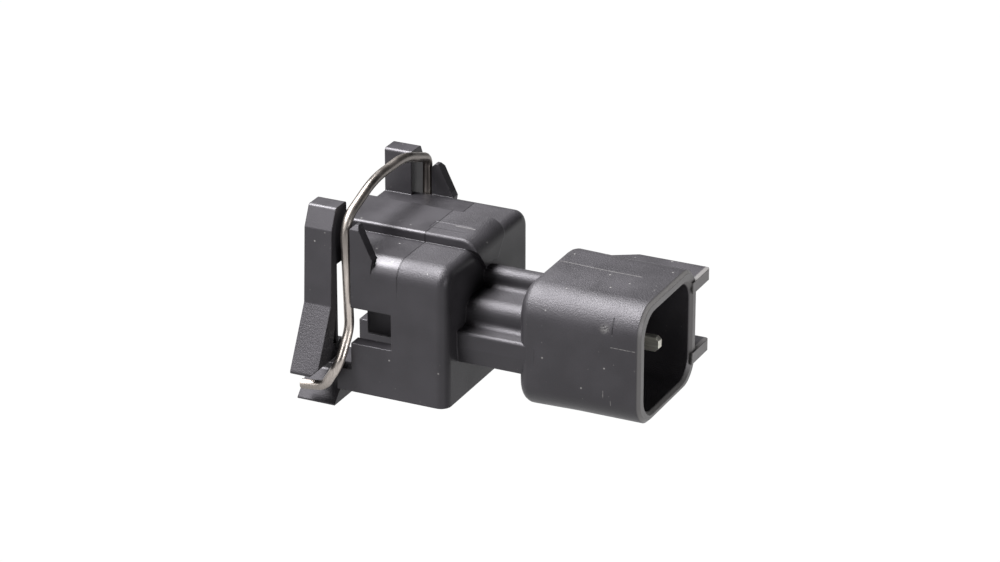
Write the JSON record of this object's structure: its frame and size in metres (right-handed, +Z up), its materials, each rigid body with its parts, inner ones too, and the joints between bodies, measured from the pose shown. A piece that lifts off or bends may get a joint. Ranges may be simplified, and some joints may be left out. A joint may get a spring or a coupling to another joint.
{
  "type": "fuel injector adapter",
  "caption": "Short in-line electrical adapter: a wire-clip plug for an injector joined by a ribbed neck to a latched rounded header with blade pins.",
  "frame": {"origin": "centre of the header's mouth, on the header's axis", "axes": "+X out of the header's mouth along the adapter, +Y to the latch side, +Z up to the side with the clip's bow"},
  "size_m": [0.0361, 0.0278, 0.0224],
  "materials": {
    "black_nylon": "fine grained moulding with satin highlights",
    "spring_wire": "drawn stainless wire",
    "seal_rubber": "matt silicone",
    "plated_pin": "bright plating",
    "contact_bronze": "stamped bronze sheet",
    "sleeve_steel": "stamped stainless sheet"
  },
  "bodies": {
    "adapter_body": {"housing": "black_nylon", "mouth_seal": "seal_rubber", "left_blade_pin": "plated_pin", "right_blade_pin": "plated_pin", "left_socket_contact": "contact_bronze", "right_socket_contact": "contact_bronze", "left_contact_spring": "sleeve_steel", "right_contact_spring": "sleeve_steel"},
    "clip": {"spring_clip": "spring_wire"}
  },
  "joints": [
    {"name": "clip_press", "type": "slide", "parent": "adapter_body", "child": "clip", "axis": [0, 0, -1], "range_m": [0, 0.0015], "stiffness_N_per_m": 300}
  ]
}
